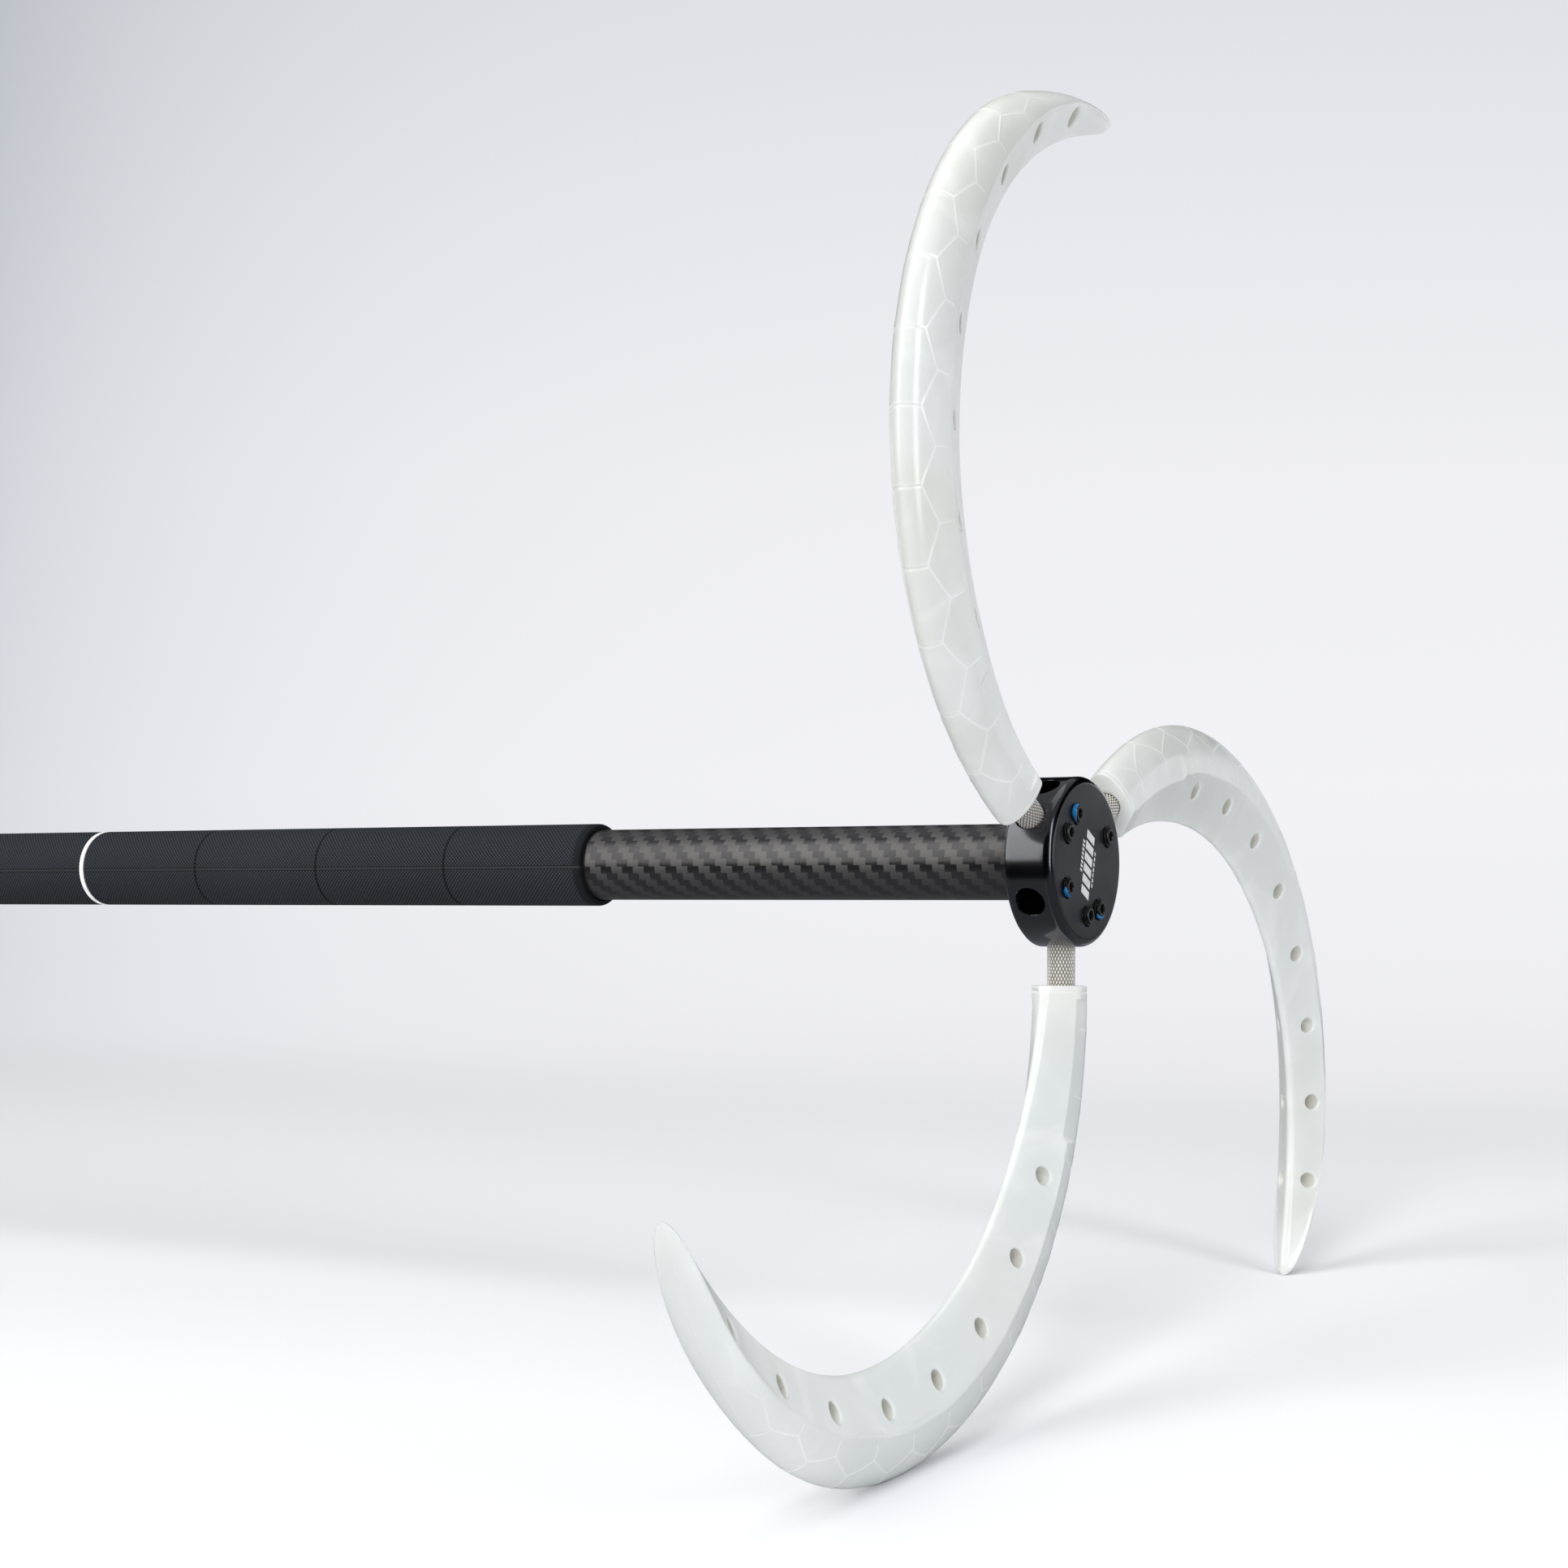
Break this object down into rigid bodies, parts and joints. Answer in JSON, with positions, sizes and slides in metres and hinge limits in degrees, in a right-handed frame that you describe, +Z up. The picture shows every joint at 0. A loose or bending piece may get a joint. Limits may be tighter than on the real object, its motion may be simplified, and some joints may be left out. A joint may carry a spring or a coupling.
{
  "type": "rolling contact staff",
  "caption": "Rolling contact staff for flow arts: a carbon tube with rubber grips and, at each end, a hub carrying curved claws that form an open rolling wheel.",
  "frame": {"origin": "middle of the staff, on its axis", "axes": "+X along the staff out of the right hub's front face, +Z up when the wheels stand on a floor, +Y completes the frame"},
  "size_m": [1.4026, 0.4079, 0.3685],
  "materials": {
    "carbon": null,
    "grip": "matte, fine dotted texture",
    "ring": "white, satin",
    "hub": "black anodised, satin face and polished edge",
    "stub": "diamond knurl",
    "claw": "milky translucent, scale pattern on the back",
    "screw": "black oxide"
  },
  "bodies": {
    "staff": {"shaft_tube": "carbon", "grip_center": "grip", "grip_end_right": "grip", "marker_ring_right": "ring", "hub_right": "hub", "grip_end_left": "grip", "marker_ring_left": "ring", "hub_left": "hub"},
    "claw_arm_right_1": {"claw_right_1": "claw", "stub_right_1": "stub"},
    "claw_arm_right_2": {"claw_right_2": "claw", "stub_right_2": "stub"},
    "claw_arm_right_3": {"claw_right_3": "claw", "stub_right_3": "stub"},
    "screw_right_1": {"set_screw_right_1": "screw"},
    "screw_right_2": {"set_screw_right_2": "screw"},
    "screw_right_3": {"set_screw_right_3": "screw"},
    "screw_right_4": {"set_screw_right_4": "screw"},
    "screw_right_5": {"set_screw_right_5": "screw"},
    "screw_right_6": {"set_screw_right_6": "screw"},
    "claw_arm_left_1": {"claw_left_1": "claw", "stub_left_1": "stub"},
    "claw_arm_left_2": {"claw_left_2": "claw", "stub_left_2": "stub"},
    "claw_arm_left_3": {"claw_left_3": "claw", "stub_left_3": "stub"},
    "screw_left_1": {"set_screw_left_1": "screw"},
    "screw_left_2": {"set_screw_left_2": "screw"},
    "screw_left_3": {"set_screw_left_3": "screw"},
    "screw_left_4": {"set_screw_left_4": "screw"},
    "screw_left_5": {"set_screw_left_5": "screw"},
    "screw_left_6": {"set_screw_left_6": "screw"}
  },
  "joints": [
    {"name": "claw_turn_right_1", "type": "hinge", "parent": "staff", "child": "claw_arm_right_1", "pos_m": [0.692, -0.00219, -0.0241], "axis": [0, -0.0906, -0.9959], "range_deg": [-90, 90]},
    {"name": "claw_turn_right_2", "type": "hinge", "parent": "staff", "child": "claw_arm_right_2", "pos_m": [0.692, 0.02197, 0.01015], "axis": [0, 0.9078, 0.4195], "range_deg": [-90, 90]},
    {"name": "claw_turn_right_3", "type": "hinge", "parent": "staff", "child": "claw_arm_right_3", "pos_m": [0.692, -0.01978, 0.01395], "axis": [0, -0.8171, 0.5764], "range_deg": [-90, 90]},
    {"name": "screw_back_out_right_1", "type": "slide", "parent": "staff", "child": "screw_right_1", "axis": [1, 0, 0], "range_m": [0, 0.003]},
    {"name": "screw_back_out_right_2", "type": "slide", "parent": "staff", "child": "screw_right_2", "axis": [1, 0, 0], "range_m": [0, 0.003]},
    {"name": "screw_back_out_right_3", "type": "slide", "parent": "staff", "child": "screw_right_3", "axis": [1, 0, 0], "range_m": [0, 0.003]},
    {"name": "screw_back_out_right_4", "type": "slide", "parent": "staff", "child": "screw_right_4", "axis": [1, 0, 0], "range_m": [0, 0.003]},
    {"name": "screw_back_out_right_5", "type": "slide", "parent": "staff", "child": "screw_right_5", "axis": [1, 0, 0], "range_m": [0, 0.003]},
    {"name": "screw_back_out_right_6", "type": "slide", "parent": "staff", "child": "screw_right_6", "axis": [1, 0, 0], "range_m": [0, 0.003]},
    {"name": "claw_turn_left_1", "type": "hinge", "parent": "staff", "child": "claw_arm_left_1", "pos_m": [-0.692, -0.00219, -0.0241], "axis": [0, -0.0906, -0.9959], "range_deg": [-90, 90]},
    {"name": "claw_turn_left_2", "type": "hinge", "parent": "staff", "child": "claw_arm_left_2", "pos_m": [-0.692, 0.02197, 0.01015], "axis": [0, 0.9078, 0.4195], "range_deg": [-90, 90]},
    {"name": "claw_turn_left_3", "type": "hinge", "parent": "staff", "child": "claw_arm_left_3", "pos_m": [-0.692, -0.01978, 0.01395], "axis": [0, -0.8171, 0.5764], "range_deg": [-90, 90]},
    {"name": "screw_back_out_left_1", "type": "slide", "parent": "staff", "child": "screw_left_1", "axis": [-1, 0, 0], "range_m": [0, 0.003]},
    {"name": "screw_back_out_left_2", "type": "slide", "parent": "staff", "child": "screw_left_2", "axis": [-1, 0, 0], "range_m": [0, 0.003]},
    {"name": "screw_back_out_left_3", "type": "slide", "parent": "staff", "child": "screw_left_3", "axis": [-1, 0, 0], "range_m": [0, 0.003]},
    {"name": "screw_back_out_left_4", "type": "slide", "parent": "staff", "child": "screw_left_4", "axis": [-1, 0, 0], "range_m": [0, 0.003]},
    {"name": "screw_back_out_left_5", "type": "slide", "parent": "staff", "child": "screw_left_5", "axis": [-1, 0, 0], "range_m": [0, 0.003]},
    {"name": "screw_back_out_left_6", "type": "slide", "parent": "staff", "child": "screw_left_6", "axis": [-1, 0, 0], "range_m": [0, 0.003]}
  ]
}
